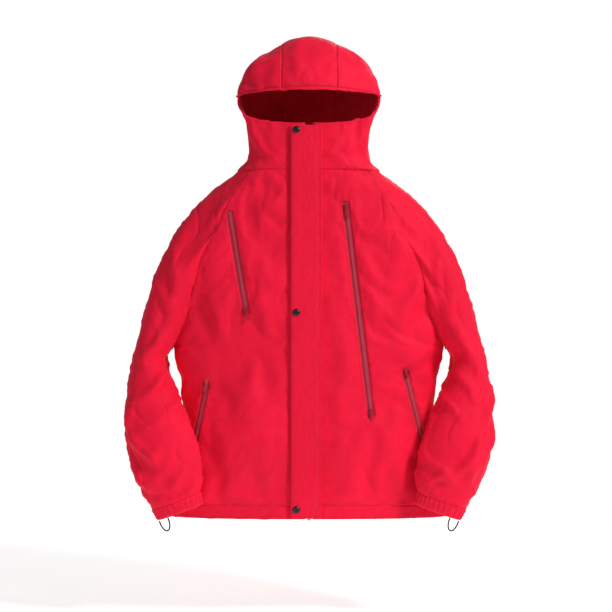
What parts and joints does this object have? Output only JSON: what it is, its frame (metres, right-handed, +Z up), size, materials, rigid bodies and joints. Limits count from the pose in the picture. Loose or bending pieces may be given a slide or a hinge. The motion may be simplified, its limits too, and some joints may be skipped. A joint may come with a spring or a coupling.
{
  "type": "ski jacket",
  "caption": "Padded ski jacket with a fitted hood, raglan sleeves, gathered cuffs, a snap-closed storm flap over the front zip, and sloping zipped chest and hand pockets.",
  "frame": {"origin": "in the hang loop inside the back of the neck, where a hook or peg lies", "axes": "+Z up towards the hood; the wearer faces -Y, so the wearer's left sleeve is at +X"},
  "size_m": [0.7518, 0.2394, 1.0098],
  "materials": {
    "shell": "ripstop taffeta, slight sheen",
    "lining": "smooth woven lining",
    "zip_tape": "woven tape",
    "zip_teeth": "nylon coil",
    "zip_metal": "red enamel",
    "snap": "black satin enamel",
    "stud": "nickel plated",
    "cord": "braided elastic"
  },
  "bodies": {
    "torso": {"front_left": "shell", "hem_front_left": "shell", "lining_front_left": "lining", "collar_front_left": "shell", "main_zip_tape_left": "zip_tape", "sleeve_top_front_left": "shell", "sleeve_top_back_left": "shell", "front_right": "shell", "hem_front_right": "shell", "lining_front_right": "lining", "collar_front_right": "shell", "main_zip_tape_right": "zip_tape", "sleeve_top_front_right": "shell", "sleeve_top_back_right": "shell", "back_panel": "shell", "hem_back": "shell", "lining_back": "lining", "collar_back": "shell", "main_zip_teeth": "zip_teeth", "main_zip_box": "stud", "hang_loop": "shell", "snap_stud_hem": "stud", "snap_stud_chest": "stud", "snap_stud_neck": "stud", "chest_zip_right_tape": "zip_tape", "chest_zip_right_teeth": "zip_teeth", "chest_zip_left_tape": "zip_tape", "chest_zip_left_teeth": "zip_teeth", "hand_zip_right_tape": "zip_tape", "hand_zip_right_teeth": "zip_teeth", "hand_zip_left_tape": "zip_tape", "hand_zip_left_teeth": "zip_teeth"},
    "storm_flap": {"storm_flap": "shell", "snap_cap_hem": "snap", "snap_cap_chest": "snap", "snap_cap_neck": "snap"},
    "hood": {"hood_brim": "shell", "hood_centre": "shell", "hood_side_left": "shell", "hood_side_right": "shell"},
    "sleeve_left": {"sleeve_front_left": "shell", "sleeve_back_left": "shell", "cuff_left": "shell", "cord_loop_left": "cord"},
    "sleeve_right": {"sleeve_front_right": "shell", "sleeve_back_right": "shell", "cuff_right": "shell", "cord_loop_right": "cord"},
    "main_zip_slider": {"main_zip_slider": "zip_metal", "main_zip_pull": "zip_metal"},
    "chest_zip_right_slider": {"chest_zip_right_slider": "zip_metal"},
    "chest_zip_right_pull": {"chest_zip_right_pull": "zip_metal"},
    "chest_zip_left_upper_slider": {"chest_zip_left_upper_slider": "zip_metal"},
    "chest_zip_left_upper_pull": {"chest_zip_left_upper_pull": "zip_metal"},
    "chest_zip_left_lower_slider": {"chest_zip_left_lower_slider": "zip_metal"},
    "chest_zip_left_lower_pull": {"chest_zip_left_lower_pull": "zip_metal"},
    "hand_zip_right_slider": {"hand_zip_right_slider": "zip_metal"},
    "hand_zip_right_pull": {"hand_zip_right_pull": "zip_metal"},
    "hand_zip_left_slider": {"hand_zip_left_slider": "zip_metal"},
    "hand_zip_left_pull": {"hand_zip_left_pull": "zip_metal"}
  },
  "joints": [
    {"name": "storm_flap_fold", "type": "hinge", "parent": "torso", "child": "storm_flap", "pos_m": [0.026, -0.16742, -0.3], "axis": [0, 0, 1], "range_deg": [0, 135]},
    {"name": "hood_fold", "type": "hinge", "parent": "torso", "child": "hood", "pos_m": [0, 0.02278, 0.061], "axis": [-1, 0, 0], "range_deg": [0, 100]},
    {"name": "sleeve_left_swing", "type": "hinge", "parent": "torso", "child": "sleeve_left", "pos_m": [0.35, -0.0972, -0.344], "axis": [0, -1, 0], "range_deg": [0, 30]},
    {"name": "sleeve_right_swing", "type": "hinge", "parent": "torso", "child": "sleeve_right", "pos_m": [-0.35, -0.0972, -0.344], "axis": [0, 1, 0], "range_deg": [0, 30]},
    {"name": "main_zip_slide", "type": "slide", "parent": "torso", "child": "main_zip_slider", "axis": [0, 0, 1], "range_m": [-0.765, 0]},
    {"name": "chest_zip_right_slide", "type": "slide", "parent": "torso", "child": "chest_zip_right_slider", "axis": [-0.1659, 0.0212, 0.9859], "range_m": [0, 0.193]},
    {"name": "chest_zip_right_pull_swing", "type": "hinge", "parent": "chest_zip_right_slider", "child": "chest_zip_right_pull", "pos_m": [-0.12881, -0.1586, -0.3121], "axis": [-0.9823, 0.0845, -0.1671], "range_deg": [0, 150]},
    {"name": "chest_zip_left_upper_slide", "type": "slide", "parent": "torso", "child": "chest_zip_left_upper_slider", "axis": [-0.1209, -0.0124, 0.9926], "range_m": [-0.19, 0]},
    {"name": "chest_zip_left_upper_pull_swing", "type": "hinge", "parent": "chest_zip_left_upper_slider", "child": "chest_zip_left_upper_pull", "pos_m": [0.07526, -0.16171, -0.10394], "axis": [-0.9904, -0.0663, -0.1215], "range_deg": [0, 150]},
    {"name": "chest_zip_left_lower_slide", "type": "slide", "parent": "torso", "child": "chest_zip_left_lower_slider", "axis": [-0.1209, -0.0124, 0.9926], "range_m": [0, 0.19]},
    {"name": "chest_zip_left_lower_pull_swing", "type": "hinge", "parent": "chest_zip_left_lower_slider", "child": "chest_zip_left_lower_pull", "pos_m": [0.12609, -0.15648, -0.52108], "axis": [-0.9904, -0.0663, -0.1215], "range_deg": [0, 150]},
    {"name": "hand_zip_right_slide", "type": "slide", "parent": "torso", "child": "hand_zip_right_slider", "axis": [0.2123, -0.0396, 0.9764], "range_m": [-0.1469, 0]},
    {"name": "hand_zip_right_pull_swing", "type": "hinge", "parent": "hand_zip_right_slider", "child": "hand_zip_right_pull", "pos_m": [-0.21176, -0.13695, -0.47468], "axis": [0.8896, -0.4057, -0.2098], "range_deg": [0, 150]},
    {"name": "hand_zip_left_slide", "type": "slide", "parent": "torso", "child": "hand_zip_left_slider", "axis": [-0.2506, -0.0666, 0.9658], "range_m": [-0.1456, 0]},
    {"name": "hand_zip_left_pull_swing", "type": "hinge", "parent": "hand_zip_left_slider", "child": "hand_zip_left_pull", "pos_m": [0.20004, -0.14146, -0.44762], "axis": [0.8928, 0.3697, 0.2572], "range_deg": [0, 150]}
  ]
}
